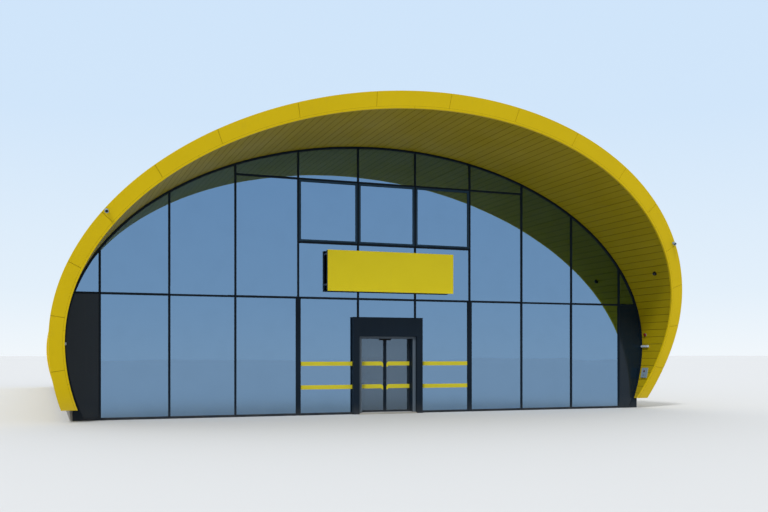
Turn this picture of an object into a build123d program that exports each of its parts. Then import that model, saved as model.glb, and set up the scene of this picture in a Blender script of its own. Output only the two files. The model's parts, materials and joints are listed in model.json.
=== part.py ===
from build123d import *
from math import asin, cos, degrees, hypot, radians, sin, sqrt, tan
import os

os.makedirs("parts", exist_ok=True)

# Driving dimensions, in millimetres and degrees.
# X runs along the glass front, Y into the building and Z up. The origin is on the
# ground, under the middle of the entrance, at the outer face of the glass.

# Vault: half an ellipse over the springing line, and a fuller one from there down
half_span = 9500
spring_height = 2200
crown_rise = 6060
foot_drop = 7000
foot_height = 330
below_ground = 60

# Rim panels of one side, from the crown down to the foot, as shares of the oval's angle
side_panel_shares = [12.3, 12.55, 13.25, 11.6, 12.2, 11.2, 11.6, 11.6, 12.5]
shell_count = 7

# Layers of the vault, measured outwards from its inner face
lining_thickness = 30
skin_depth = 350
rim_depth = 400
fascia_thickness = 60
verge_return = 300
panel_gap = 8
lining_gap = 4
seat = 0.3

# Raking front edge, which reaches a little further on the left, and the hall behind the glass
rake_angle = 27.47
rake_skew = 1.66
rake_at_ground = 330
hall_length = 28500
rear_rim_thickness = 40
rear_wall_thickness = 200

# Ground slab and plinths
slab_thickness = 40
plinth_width = 320
plinth_clearance = 5
plinth_setback = 150
foot_cover_width = 250

# Glass front
bay_count = 9
end_strip = 950
frame_front = 40
frame_back = 160
glass_thickness = 30
arch_frame_face = 60
mullion_face = 50
heavy_mullion_face = 140
transom_face = 50
base_rail_height = 60
first_transom_height = 3545
sash_transom_height = 5220
second_transom_height = 7125
least_top_pane = 200
sash_face = 55
sash_front = 25
sash_back = 45
end_panel_front = 20
end_panel_back = 40

# Entrance
portal_face = 200
portal_reach = 120
door_clear_height = 2330
door_frame_head = 65
door_header_depth = 585
jamb_face = 80
jamb_front = 60
ramp_length = 180
ramp_nose = 4
leaf_thickness = 50
leaf_frame = 40
leaf_lap = 33
leaf_rise = 50
leaf_glass = 24
leaf_clearance = 10
meeting_gap = 10
leaf_travel = 800
operator_height = 200
operator_depth = 140
hanger_height = 32
hanger_width = 20
hanger_length = 120
hanger_inset = 100
runner_clearance = 0.5
sensor_width = 334
sensor_height = 50
sensor_depth = 60
sensor_clearance = 5

# Sign board on its two rails
sign_width = 4160
sign_shift = 75
sign_bottom = 3757
sign_height = 1243
sign_depth = 150
rail_section = 50
rail_standoff = 30
lower_rail_height = 3960
upper_rail_height = 4890

# Fittings on the canopy
fitting_sink = 10
fitting_sides = 12
light_length = 360
light_height = 100
light_depth = 70
light_centre_height = 2120
light_setback = 230
beacon_radius = 55
beacon_depth = 60
beacon_height = 2520
beacon_setback = 230
call_point_width = 300
call_point_height = 340
call_point_depth = 50
call_point_centre_height = 1200
call_point_setback = 310
call_button_radius = 28
call_button_depth = 20
dome_radius = 70
dome_base = 30
dome_height = 4510
dome_setback = 1680
rim_camera_length = 110
rim_camera_radius = 48
rim_camera_outset = 343
rim_camera_joint = 5
rim_camera_above_joint = 100

# Worked out from the sizes above
side_panel_count = len(side_panel_shares)
panel_count = 2 * side_panel_count
foot_angle = degrees(asin((spring_height + below_ground) / foot_drop))
bay_width = 2 * (half_span - end_strip) / bay_count
door_bay = bay_count // 2
door_half = bay_width / 2
rake_slope = tan(radians(rake_angle))
rake_turn = tan(radians(rake_skew))
return_end = frame_back + fascia_thickness + verge_return
lower_transom_bottom = first_transom_height - transom_face / 2
door_head_height = door_clear_height + door_frame_head
door_head_top = door_head_height + door_header_depth
field_inset = arch_frame_face + seat

foot_plane = Plane.XY.offset(foot_height)
slab_plane = Plane.XY.offset(slab_thickness)


def overhang(x, height):
    # How far the raking edge stands in front of the glass
    return rake_at_ground + rake_slope * height - rake_turn * x


canopy_reach = overhang(-half_span, spring_height + crown_rise + rim_depth)
rake = Plane(
    origin=(0, -overhang(0, 0), 0),
    x_dir=(1, rake_turn, 0),
    z_dir=(rake_turn, -1, -rake_slope),
)


def facing_plane(y):
    # Upright plane at a depth y, seen from the front, with its normal towards the front
    return Plane.XZ.offset(-y)


def joint_angle(number):
    # Ellipse parameter of a panel joint, counted from the left foot over to the right foot
    from_crown = abs(number - side_panel_count)
    share = sum(side_panel_shares[:from_crown]) / sum(side_panel_shares)
    turn = share * (90 + foot_angle)
    return 90 + turn if number < side_panel_count else 90 - turn


def rim_rise(up):
    # Half height of the oval above or below the springing line
    return crown_rise if up >= 0 else foot_drop


def rim_normal(angle):
    # Direction outwards, square to the cross-section at a parameter angle
    across, up = cos(radians(angle)), sin(radians(angle))
    return Vector(across / half_span, up / rim_rise(up)).normalized()


def rim_point(angle, outset):
    # Point of the cross-section at a parameter angle, moved outwards square to the curve
    across, up = cos(radians(angle)), sin(radians(angle))
    on_curve = Vector(half_span * across, spring_height + rim_rise(up) * up)
    return on_curve + rim_normal(angle) * outset


def trimmed(angle, distance):
    # Parameter angle a small distance further along the curve
    speed = hypot(half_span * sin(radians(angle)), crown_rise * cos(radians(angle)))
    return angle - degrees(distance / speed)


def side_x(height):
    # Half width of the inner face at a height
    above_spring = height - spring_height
    return half_span * sqrt(1 - (above_spring / rim_rise(above_spring)) ** 2)


def arch_height(x):
    # Height of the inner face over a point of the front
    return spring_height + crown_rise * sqrt(max(0, 1 - (x / half_span) ** 2))


def ring_face(first, last, inner, outer, gap, y):
    # Slice of the vault between two panel joints and two outsets, in the plane at depth y
    angles = [joint_angle(number) for number in range(first, last + 1)]
    angles[0] = trimmed(angles[0], gap / 2)
    angles[-1] = trimmed(angles[-1], -gap / 2)
    with BuildSketch(facing_plane(y)) as face:
        with BuildLine():
            for outset in (inner, outer):
                for start, end in zip(angles, angles[1:]):
                    middle = (start + end) / 2
                    ThreePointArc(*(rim_point(angle, outset) for angle in (start, middle, end)))
            for angle in (angles[0], angles[-1]):
                Line(rim_point(angle, inner), rim_point(angle, outer))
        make_face()
    return face.sketch


def field_face(left, right, bottom, top, outset, y):
    # Rectangle of the front or rear, cut to the arch where it reaches it
    with BuildSketch(facing_plane(y)) as face:
        with BuildLine():
            for number in range(panel_count):
                start, end = joint_angle(number), joint_angle(number + 1)
                middle = (start + end) / 2
                ThreePointArc(*(rim_point(angle, outset) for angle in (start, middle, end)))
            Line(rim_point(joint_angle(0), outset), rim_point(joint_angle(panel_count), outset))
        make_face()
        with Locations(((left + right) / 2, (bottom + top) / 2)):
            Rectangle(right - left, top - bottom, mode=Mode.INTERSECT)
    return face.sketch


def plinth_face():
    # Section of both plinths, with their inner faces just clear of the arch frame
    outer_x = side_x(0) + plinth_width
    with BuildSketch(facing_plane(hall_length)) as face:
        with BuildLine():
            Polyline(
                (side_x(0) + plinth_clearance, 0),
                (outer_x, 0),
                (outer_x, foot_height),
                (side_x(foot_height) + plinth_clearance, foot_height),
                close=True,
            )
        make_face()
        mirror(about=Plane.YZ)
    return face.sketch


def side_angle(height):
    # Ellipse parameter of a height on the right-hand side
    above_spring = height - spring_height
    return degrees(asin(above_spring / rim_rise(above_spring)))


def soffit_plane(height, setback, side):
    # Plane sunk a little into the lining, with its normal into the canopy
    angle = side_angle(height)
    foot, inwards = rim_point(angle, fitting_sink), rim_normal(angle) * -1
    return Plane(
        origin=(side * foot.X, -setback, foot.Y),
        x_dir=(0, 1, 0),
        z_dir=(side * inwards.X, 0, inwards.Y),
    )


def finish(piece, name):
    piece.part.label = name
    export_step(piece.part, f"parts/{name}.step")


# Ground slab of the hall, from the back of the glass front
with BuildPart() as floor_slab:
    with BuildSketch():
        with Locations((0, (hall_length + frame_back) / 2)):
            Rectangle(2 * side_x(0), hall_length - frame_back)
    extrude(amount=slab_thickness)
finish(floor_slab, "floor_slab")

# Concrete plinths under the two feet of the vault, set back behind the glass front
with BuildPart() as plinths:
    extrude(plinth_face(), amount=hall_length - plinth_setback)
finish(plinths, "plinths")

# Roof and wall shell, from one foot over the crown to the other
shell_joints = [round(panel_count * part / shell_count) for part in range(shell_count + 1)]
for number, (first, last) in enumerate(zip(shell_joints, shell_joints[1:]), start=1):
    with BuildPart() as roof_shell:
        extrude(
            ring_face(first, last, lining_thickness + seat, skin_depth, 0, hall_length),
            amount=hall_length + canopy_reach,
        )
        split(bisect_by=rake.offset(-fascia_thickness), keep=Keep.BOTTOM)
        split(bisect_by=foot_plane, keep=Keep.TOP)
    finish(roof_shell, f"roof_shell_{number}")

# Soffit lining under the canopy, from the raking edge back to the glass front
third = panel_count // 3
thirds = {"left": 0, "crown": third, "right": 2 * third}
for side, first in thirds.items():
    with BuildPart() as soffit:
        for number in range(first, first + third):
            extrude(
                ring_face(number, number + 1, 0, lining_thickness, lining_gap, frame_back),
                amount=frame_back + canopy_reach,
            )
        split(bisect_by=rake.offset(-fascia_thickness), keep=Keep.BOTTOM)
        split(bisect_by=foot_plane, keep=Keep.TOP)
    finish(soffit, f"soffit_{side}")

# Fascia cassettes on the raking edge, each folded back over the roof skin
for side, first in thirds.items():
    with BuildPart() as fascia:
        for number in range(first, first + third):
            extrude(
                ring_face(number, number + 1, 0, rim_depth, panel_gap, frame_back),
                amount=frame_back + canopy_reach,
            )
        split(bisect_by=rake.offset(-fascia_thickness), keep=Keep.TOP)
        for number in range(first, first + third):
            extrude(
                ring_face(number, number + 1, skin_depth + seat, rim_depth, panel_gap, return_end),
                amount=return_end + canopy_reach,
            )
        split(bisect_by=rake.offset(-fascia_thickness - verge_return), keep=Keep.TOP)
        split(bisect_by=rake, keep=Keep.BOTTOM)
        split(bisect_by=foot_plane, keep=Keep.TOP)
    finish(fascia, f"fascia_{side}")

# Flat rear rim, square to the hall
with BuildPart() as rear_rim:
    for number in range(panel_count):
        extrude(
            ring_face(number, number + 1, 0, rim_depth, panel_gap, hall_length + rear_rim_thickness),
            amount=rear_rim_thickness,
        )
    split(bisect_by=foot_plane, keep=Keep.TOP)
finish(rear_rim, "rear_rim")

# Rear wall of upright panels on the same bays as the front, notched over the plinths
bay_edges = [-half_span] + [(bay - bay_count / 2) * bay_width for bay in range(bay_count + 1)]
bay_edges.append(half_span)
with BuildPart() as rear_wall:
    for left, right in zip(bay_edges, bay_edges[1:]):
        panel = field_face(
            left + panel_gap / 2,
            right - panel_gap / 2,
            slab_thickness,
            spring_height + 2 * crown_rise,
            lining_thickness,
            hall_length,
        )
        extrude(panel, amount=rear_wall_thickness)
    extrude(plinth_face(), amount=rear_wall_thickness, mode=Mode.SUBTRACT)
finish(rear_wall, "rear_wall")

# Curved frame of the glass front, against the soffit lining, with a cover before each plinth
cover_top = foot_height - seat
cover_seam = arch_frame_face / 2
with BuildPart() as arch_frame:
    for number in range(panel_count):
        extrude(
            ring_face(number, number + 1, -arch_frame_face, -seat, lining_gap, frame_back),
            amount=frame_back + frame_front,
        )
    split(bisect_by=Plane.XY, keep=Keep.TOP)
    with BuildSketch(facing_plane(0)):
        with BuildLine():
            Polyline(
                (side_x(0) - cover_seam, 0),
                (side_x(0) + foot_cover_width, 0),
                (side_x(0) + foot_cover_width, cover_top),
                (side_x(cover_top) - cover_seam, cover_top),
                close=True,
            )
        make_face()
        mirror(about=Plane.YZ)
    extrude(amount=frame_front)
finish(arch_frame, "arch_frame")

# Mullions, two of them wider below the first transom
mullion_x = bay_edges[1:-1]
heavy_mullions = (door_bay - 1, door_bay + 2)
top_limit = spring_height + crown_rise


def mullion_half(number, height):
    # Half the width of a mullion at a height, and none at the two ends of the front
    if number < 0 or number > bay_count:
        return 0
    heavy = number in heavy_mullions and height < first_transom_height
    return (heavy_mullion_face if heavy else mullion_face) / 2


with BuildPart() as mullions:
    for number, x in enumerate(mullion_x):
        low, high = (mullion_half(number, height) for height in (0, top_limit))
        shaft = field_face(x - high, x + high, 0, top_limit, -field_inset, frame_back)
        extrude(shaft, amount=frame_back + frame_front)
        if low > high:
            stem = field_face(x - low, x + low, 0, lower_transom_bottom, -field_inset, frame_back)
            extrude(stem, amount=frame_back + frame_front)
finish(mullions, "mullions")


def bay_span(bay, height):
    # Clear opening between the mullions on each side of a bay; the end strips are bays too
    left = bay_edges[bay + 1] + mullion_half(bay, height)
    right = bay_edges[bay + 2] - mullion_half(bay + 1, height)
    return left, right


all_bays = range(-1, bay_count + 1)
glazed_bays = range(bay_count)
top_bays = [
    bay
    for bay in glazed_bays
    if arch_height(max(abs(x) for x in bay_span(bay, top_limit)))
    > second_transom_height + least_top_pane
]
vent_bays = (door_bay - 1, door_bay, door_bay + 1)

# Transoms between the mullions
transom_rows = [
    (first_transom_height, all_bays),
    (sash_transom_height, vent_bays),
    (second_transom_height, top_bays),
]
with BuildPart() as transoms:
    for height, bays in transom_rows:
        for bay in bays:
            bar = field_face(
                *bay_span(bay, height),
                height - transom_face / 2,
                height + transom_face / 2,
                -field_inset,
                frame_back,
            )
            extrude(bar, amount=frame_back + frame_front)
finish(transoms, "transoms")

# Base rails on the ground, with the entrance left open
with BuildPart() as base_rails:
    for bay in all_bays:
        if bay != door_bay:
            rail = field_face(*bay_span(bay, 0), 0, base_rail_height, -field_inset, frame_back)
            extrude(rail, amount=frame_back + frame_front)
finish(base_rails, "base_rails")

# Solid panels in the end strips, below the first transom
for side, bay in {"left": -1, "right": bay_count}.items():
    with BuildPart() as end_panel:
        infill = field_face(
            *bay_span(bay, 0), base_rail_height, lower_transom_bottom, -field_inset, end_panel_back
        )
        extrude(infill, amount=end_panel_back + end_panel_front)
    finish(end_panel, f"end_panel_{side}")

# Panes of the ground row, with a short one over the entrance
with BuildPart() as glass_ground_row:
    for bay in glazed_bays:
        bottom = door_head_top if bay == door_bay else base_rail_height
        pane = field_face(
            *bay_span(bay, 0), bottom, lower_transom_bottom, -field_inset, glass_thickness
        )
        extrude(pane, amount=glass_thickness)
finish(glass_ground_row, "glass_ground_row")

# Panes of the middle row, up to the second transom, the sashes or the arch
middle_bottom = first_transom_height + transom_face / 2
with BuildPart() as glass_middle_row:
    for bay in all_bays:
        if bay in vent_bays:
            top = sash_transom_height - transom_face / 2
        elif bay in top_bays:
            top = second_transom_height - transom_face / 2
        else:
            top = top_limit
        pane = field_face(
            *bay_span(bay, top_limit), middle_bottom, top, -field_inset, glass_thickness
        )
        extrude(pane, amount=glass_thickness)
finish(glass_middle_row, "glass_middle_row")

# Panes over the second transom, cut to the arch
with BuildPart() as glass_top_row:
    for bay in top_bays:
        pane = field_face(
            *bay_span(bay, top_limit),
            second_transom_height + transom_face / 2,
            top_limit,
            -field_inset,
            glass_thickness,
        )
        extrude(pane, amount=glass_thickness)
finish(glass_top_row, "glass_top_row")

# Three ventilation sashes over the entrance, and their glass
sash_bottom = sash_transom_height + transom_face / 2
sash_height = second_transom_height - transom_face / 2 - sash_bottom
sash_width = bay_width - mullion_face
sash_places = [
    ((mullion_x[bay] + mullion_x[bay + 1]) / 2, sash_bottom + sash_height / 2) for bay in vent_bays
]
with BuildPart() as vent_sashes:
    with BuildSketch(facing_plane(sash_back)):
        with Locations(*sash_places):
            Rectangle(sash_width, sash_height)
            Rectangle(sash_width - 2 * sash_face, sash_height - 2 * sash_face, mode=Mode.SUBTRACT)
    extrude(amount=sash_back + sash_front)
finish(vent_sashes, "vent_sashes")

with BuildPart() as vent_glass:
    with BuildSketch(facing_plane(glass_thickness)):
        with Locations(*sash_places):
            Rectangle(sash_width - 2 * sash_face, sash_height - 2 * sash_face)
    extrude(amount=glass_thickness)
finish(vent_glass, "vent_glass")

# Entrance portal that stands in front of the mullions
with BuildPart() as portal_posts:
    with BuildSketch():
        with Locations((door_half + portal_face / 2, -frame_front - portal_reach / 2)):
            Rectangle(portal_face, portal_reach)
        mirror(about=Plane.YZ)
    extrude(amount=door_head_height)
finish(portal_posts, "portal_posts")

door_opening = bay_width - mullion_face
with BuildPart() as door_header:
    with BuildSketch(Plane.XY.offset(door_head_height)):
        with Locations((0, -frame_front - portal_reach / 2)):
            Rectangle(2 * (door_half + portal_face), portal_reach)
        with Locations((0, (frame_back - frame_front) / 2)):
            Rectangle(door_opening, frame_back + frame_front)
    extrude(amount=door_header_depth)
finish(door_header, "door_header")

# Door frame on the sill: two jambs, each lapped over its mullion, and a head between them
clear_half = door_opening / 2 - jamb_face
jamb_lap = door_half - clear_half
with BuildPart() as door_jambs:
    with BuildSketch(slab_plane):
        with Locations((clear_half + jamb_face / 2, (frame_back - jamb_front) / 2)):
            Rectangle(jamb_face, frame_back + jamb_front)
        with Locations((clear_half + jamb_lap / 2, -(frame_front + jamb_front) / 2)):
            Rectangle(jamb_lap, jamb_front - frame_front)
        mirror(about=Plane.YZ)
    extrude(amount=door_head_height - slab_thickness)
    with BuildSketch(Plane.XY.offset(door_clear_height)):
        with Locations((0, (frame_back - jamb_front) / 2)):
            Rectangle(2 * clear_half, frame_back + jamb_front)
    extrude(amount=door_frame_head)
finish(door_jambs, "door_jambs")

# Ramp from the ground up to the sill, between the portal posts, and the sill up to the slab
with BuildPart() as threshold_ramp:
    with BuildSketch(Plane.YZ.offset(-door_half)):
        with BuildLine():
            Polyline(
                (-frame_front, 0),
                (-frame_front, slab_thickness),
                (-frame_front - ramp_length, ramp_nose),
                (-frame_front - ramp_length, 0),
                close=True,
            )
        make_face()
    extrude(amount=bay_width)
    with BuildSketch():
        with Locations((0, (frame_back - frame_front) / 2)):
            Rectangle(door_opening, frame_back + frame_front)
    extrude(amount=slab_thickness)
finish(threshold_ramp, "threshold_ramp")

# Operator box behind the header, with the groove that the leaf hangers run in
leaf_front = frame_back + leaf_clearance
leaf_middle = leaf_front + leaf_thickness / 2
leaf_bottom = slab_thickness + leaf_clearance
leaf_top = door_clear_height + leaf_rise
operator_bottom = leaf_top + leaf_clearance
leaf_outer = clear_half + leaf_lap
operator_half = leaf_outer + leaf_travel + leaf_clearance
with BuildPart() as door_operator:
    with BuildSketch(Plane.YZ.offset(-operator_half)):
        with Locations((frame_back + operator_depth / 2, operator_bottom + operator_height / 2)):
            Rectangle(operator_depth, operator_height)
        with Locations((leaf_middle, operator_bottom)):
            Rectangle(hanger_width + 2 * runner_clearance, 2 * hanger_height, mode=Mode.SUBTRACT)
    extrude(amount=2 * operator_half)
finish(door_operator, "door_operator")

with BuildPart() as door_sensor:
    with BuildSketch(Plane.XY.offset(door_clear_height - sensor_height)):
        with Locations((0, frame_back - sensor_clearance - sensor_depth / 2)):
            Rectangle(sensor_width, sensor_depth)
    extrude(amount=sensor_height)
    fillet(door_sensor.edges().filter_by(Axis.X).group_by(Axis.Z)[0], radius=sensor_height / 4)
finish(door_sensor, "door_sensor")

# Sliding leaves: a frame on two hangers, and its glass
leaf_width = leaf_outer - meeting_gap / 2
leaf_centre = meeting_gap / 2 + leaf_width / 2
leaf_height = leaf_top - leaf_bottom
hanger_top = operator_bottom + hanger_height - runner_clearance
for side, direction in {"left": -1, "right": 1}.items():
    place = (direction * leaf_centre, (leaf_bottom + leaf_top) / 2)
    opening = (leaf_width - 2 * leaf_frame, leaf_height - 2 * leaf_frame)
    hangers = [
        (place[0] + end * (leaf_width / 2 - hanger_inset), (leaf_top + hanger_top) / 2)
        for end in (-1, 1)
    ]
    with BuildPart() as door_leaf:
        with BuildSketch(facing_plane(leaf_front + leaf_thickness)):
            with Locations(place):
                Rectangle(leaf_width, leaf_height)
                Rectangle(*opening, mode=Mode.SUBTRACT)
        extrude(amount=leaf_thickness)
        with BuildSketch(facing_plane(leaf_middle + hanger_width / 2)):
            with Locations(*hangers):
                Rectangle(hanger_length, hanger_top - leaf_top)
        extrude(amount=hanger_width)
    finish(door_leaf, f"door_leaf_{side}")
    with BuildPart() as door_glass:
        with BuildSketch(facing_plane(leaf_middle + leaf_glass / 2)):
            with Locations(place):
                Rectangle(*opening)
        extrude(amount=leaf_glass)
    finish(door_glass, f"door_glass_{side}")

# Blank sign board on two rails, held off the mullions beside the entrance
rail_back = frame_front + rail_standoff
with BuildPart() as sign_rails:
    for height in (lower_rail_height, upper_rail_height):
        with BuildSketch(facing_plane(-rail_back)):
            with Locations((sign_shift, height)):
                Rectangle(sign_width, rail_section)
        extrude(amount=rail_section)
        with BuildSketch(facing_plane(-frame_front)):
            with Locations((-door_half, height), (door_half, height)):
                Rectangle(rail_section, rail_section)
        extrude(amount=rail_standoff)
finish(sign_rails, "sign_rails")

with BuildPart() as sign_board:
    with BuildSketch(facing_plane(-rail_back - rail_section)):
        with Locations((sign_shift, sign_bottom + sign_height / 2)):
            Rectangle(sign_width, sign_height)
    extrude(amount=sign_depth)
finish(sign_board, "sign_board")

# The lining as a tool, which trims the backs of the fittings to its curve
with BuildPart() as lining_block:
    extrude(ring_face(0, panel_count, -seat, lining_thickness, 0, 0), amount=canopy_reach)

# Lights on both sides of the canopy, just in front of the glass
with BuildPart() as wall_lights:
    for side in (-1, 1):
        with BuildSketch(soffit_plane(light_centre_height, light_setback, side)):
            Rectangle(light_length, light_height)
        extrude(amount=light_depth + fitting_sink)
    add(lining_block.part, mode=Mode.SUBTRACT)
finish(wall_lights, "wall_lights")

with BuildPart() as alarm_beacon:
    with BuildSketch(soffit_plane(beacon_height, beacon_setback, 1)):
        RegularPolygon(beacon_radius, fitting_sides, major_radius=False)
    extrude(amount=beacon_depth + fitting_sink)
    chamfer(alarm_beacon.faces().sort_by(Axis.X)[0].edges(), length=beacon_depth / 3)
    add(lining_block.part, mode=Mode.SUBTRACT)
finish(alarm_beacon, "alarm_beacon")

call_face = soffit_plane(call_point_centre_height, call_point_setback, 1)
with BuildPart() as call_point:
    with BuildSketch(call_face):
        Rectangle(call_point_width, call_point_height)
    extrude(amount=call_point_depth + fitting_sink)
    with BuildSketch(call_face.offset(call_point_depth + fitting_sink)):
        RegularPolygon(call_button_radius, fitting_sides, major_radius=False)
    extrude(amount=call_button_depth)
    add(lining_block.part, mode=Mode.SUBTRACT)
finish(call_point, "call_point")

# Dome camera under the canopy
dome_face = soffit_plane(dome_height, dome_setback, 1)
dome_inwards = Axis(dome_face.origin, dome_face.z_dir)
with BuildPart() as dome_camera:
    with BuildSketch(dome_face):
        RegularPolygon(dome_radius, fitting_sides, major_radius=False)
    extrude(amount=dome_base + dome_radius + fitting_sink)
    chamfer(dome_camera.faces().sort_by(dome_inwards)[-1].edges(), length=dome_radius / 2)
    add(lining_block.part, mode=Mode.SUBTRACT)
finish(dome_camera, "dome_camera")

# One round camera on the raking face of the rim on each side, with its axis square to that face
with BuildPart() as rim_cameras:
    angle = trimmed(joint_angle(side_panel_count + rim_camera_joint), -rim_camera_above_joint)
    centre = rim_point(angle, rim_camera_outset)
    for side in (-1, 1):
        x = side * centre.X
        camera_face = Plane(
            origin=(x, -overhang(x, centre.Y), centre.Y), x_dir=rake.x_dir, z_dir=rake.z_dir
        )
        with BuildSketch(camera_face.offset(seat)):
            RegularPolygon(rim_camera_radius, fitting_sides, major_radius=False)
        extrude(amount=rim_camera_length)
finish(rim_cameras, "rim_cameras")
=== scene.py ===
import json
import math
import random

import bpy
from mathutils import Matrix, Vector

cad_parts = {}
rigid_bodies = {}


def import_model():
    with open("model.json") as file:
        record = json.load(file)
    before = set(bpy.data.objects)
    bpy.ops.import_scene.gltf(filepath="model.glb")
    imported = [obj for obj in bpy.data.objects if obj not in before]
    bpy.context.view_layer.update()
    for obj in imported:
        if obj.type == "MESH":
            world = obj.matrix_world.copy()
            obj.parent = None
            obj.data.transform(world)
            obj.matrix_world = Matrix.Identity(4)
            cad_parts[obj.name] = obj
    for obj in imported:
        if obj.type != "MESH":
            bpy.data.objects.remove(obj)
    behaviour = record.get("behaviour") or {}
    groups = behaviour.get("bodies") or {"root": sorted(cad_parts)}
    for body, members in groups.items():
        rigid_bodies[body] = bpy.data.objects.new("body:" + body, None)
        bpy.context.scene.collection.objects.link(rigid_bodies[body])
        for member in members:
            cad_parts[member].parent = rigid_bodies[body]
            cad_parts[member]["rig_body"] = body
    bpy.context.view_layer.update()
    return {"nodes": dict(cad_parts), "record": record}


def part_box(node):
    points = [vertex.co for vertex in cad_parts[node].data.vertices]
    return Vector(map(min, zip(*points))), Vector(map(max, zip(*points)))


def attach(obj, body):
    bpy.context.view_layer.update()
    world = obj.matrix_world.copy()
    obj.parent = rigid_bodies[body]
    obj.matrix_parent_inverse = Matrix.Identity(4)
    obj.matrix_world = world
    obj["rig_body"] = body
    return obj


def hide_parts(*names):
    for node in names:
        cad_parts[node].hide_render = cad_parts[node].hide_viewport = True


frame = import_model()
nodes = frame["nodes"]
slotOf = {row["node"]: row["material_slot"] for row in frame["record"]["subparts"]}
bpy.ops.object.select_all(action="DESELECT")
print("frame loaded:", len(nodes), "nodes")

# Oval of the vault: half an ellipse above the springing line, a fuller one below it. What follows the
# raking edge is made from frontReach to backReach first, and then cut.
oval = {
    "halfSpan": 9.5,
    "spring": 2.2,
    "rise": 6.06,
    "drop": 7.0,
    "footHeight": 0.33,
    "skin": 0.35,
    "rim": 0.40,
    "frontReach": -5.2,
    "backReach": 0.26,
    "steps": 300,
}
# Plane of the raking edge: how far before the glass it meets the ground, its lean and its skew
rake = {"ground": 0.33, "slope": math.tan(math.radians(27.47)), "turn": math.tan(math.radians(1.66))}
rakeNormal = Vector((rake["turn"], -1, -rake["slope"])).normalized()
across, inDepth, up = Vector((1, 0, 0)), Vector((0, 1, 0)), Vector((0, 0, 1))
# How pieces are made: lengths in metres, angles in degrees. Lengths under a hair count as none.
making = {
    "hair": 1e-5,
    "mergeGap": 0.0001,
    "flatWithin": 0.4,
    "softenFrom": 30,
    "smoothWithin": 35,
    "roundSides": 48,
    "roundSegments": 4,
}

# Selecting and editing

def only(obj):
    bpy.ops.object.select_all(action="DESELECT")
    obj.select_set(True)
    bpy.context.view_layer.objects.active = obj

def leave():
    bpy.ops.object.mode_set(mode="OBJECT")

def edit(obj, kind="VERT", wanted=None):
    # Edit mode with everything selected, or only the vertices, edges or faces that are wanted
    only(obj)
    bpy.ops.object.mode_set(mode="EDIT")
    bpy.ops.mesh.select_mode(type=kind)
    bpy.ops.mesh.select_all(action="SELECT")
    if wanted is not None:
        bpy.ops.mesh.select_all(action="DESELECT")
        leave()
        layer = {"VERT": "vertices", "EDGE": "edges", "FACE": "polygons"}[kind]
        for item in getattr(obj.data, layer):
            item.select = wanted(item)
        bpy.ops.object.mode_set(mode="EDIT")

def resizeSome(obj, amounts, centre=(0, 0, 0), wanted=None):
    edit(obj, "VERT", wanted)
    bpy.ops.transform.resize(value=amounts, center_override=centre)
    leave()

def moveSome(obj, shift, wanted=None):
    edit(obj, "VERT", wanted)
    bpy.ops.transform.translate(value=shift)
    leave()

def extrudeFaces(obj, shift, wanted):
    edit(obj, "FACE", wanted)
    bpy.ops.mesh.extrude_region_move(TRANSFORM_OT_translate={"value": shift})
    leave()

def sinkFaces(obj, wanted, margin, wall, depth):
    # Sinks a field inside each wanted face, and gives the numbers of the faces at its bottom
    edit(obj, "FACE", wanted)
    bpy.ops.mesh.inset(thickness=margin, use_individual=True)
    bpy.ops.mesh.inset(thickness=wall, depth=-depth, use_individual=True)
    leave()
    return [face.index for face in obj.data.polygons if face.select]

def cutAcross(obj, point, normal, clear=None):
    # Cuts through a piece; where a side is cleared, inner or outer, the cut is closed
    edit(obj)
    bpy.ops.mesh.bisect(
        plane_co=point, plane_no=normal, use_fill=clear is not None,
        clear_inner=clear == "inner", clear_outer=clear == "outer",
    )
    leave()

def looksUp(face):
    return face.normal.z > 0.99

def looksDown(face):
    return face.normal.z < -0.99

def applyPlace(obj):
    only(obj)
    bpy.ops.object.transform_apply(location=True, rotation=True, scale=True)

def applyModifier(obj, kind, **values):
    modifier = obj.modifiers.new(kind.lower(), kind)
    for name, value in values.items():
        setattr(modifier, name, value)
    only(obj)
    bpy.ops.object.modifier_apply(modifier=modifier.name)

def bevelEdges(obj, width, segments, angle):
    applyModifier(
        obj, "BEVEL", width=width, segments=segments, limit_method="ANGLE", angle_limit=math.radians(angle)
    )

def smoothFaces(obj):
    # Smooth where the form is round, and flat across the large faces
    only(obj)
    bpy.ops.object.shade_smooth_by_angle(angle=math.radians(making["smoothWithin"]))
    applyModifier(obj, "WEIGHTED_NORMAL", keep_sharp=True)

def softEdges(obj, width, segments=2):
    if width > 0:
        bevelEdges(obj, width, segments, making["softenFrom"])
    smoothFaces(obj)

def joined(pieces, name):
    only(pieces[0])
    for piece in pieces:
        piece.select_set(True)
    if len(pieces) > 1:
        bpy.ops.object.join()
    pieces[0].name = name
    pieces[0].data.name = name
    return pieces[0]

def placedCopy(model, place):
    copy = model.copy()
    copy.data = model.data.copy()
    copy.data.transform(place)
    bpy.context.collection.objects.link(copy)
    return copy

def discard(obj):
    bpy.data.objects.remove(obj)

def paint(obj, *finishNames):
    obj.data.materials.clear()
    for name in finishNames:
        obj.data.materials.append(materials[name])

def tintFaces(obj, wanted):
    # Gives the wanted faces the piece's second finish
    for face in obj.data.polygons:
        if wanted(face):
            face.material_index = 1

def hand(obj, body, slot, *replaced):
    # Every finished piece rides on a body, and may stand for nodes
    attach(obj, body)
    if replaced:
        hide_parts(*replaced)

def standFor(obj, nodeName):
    hand(obj, bodyOf(nodeName), slotOf[nodeName], nodeName)

def handTrim(obj, edge, finishName, slot):
    # A small piece of the building that stands for no node
    softEdges(obj, edge, 1)
    paint(obj, finishName)
    hand(obj, "building", slot)

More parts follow.
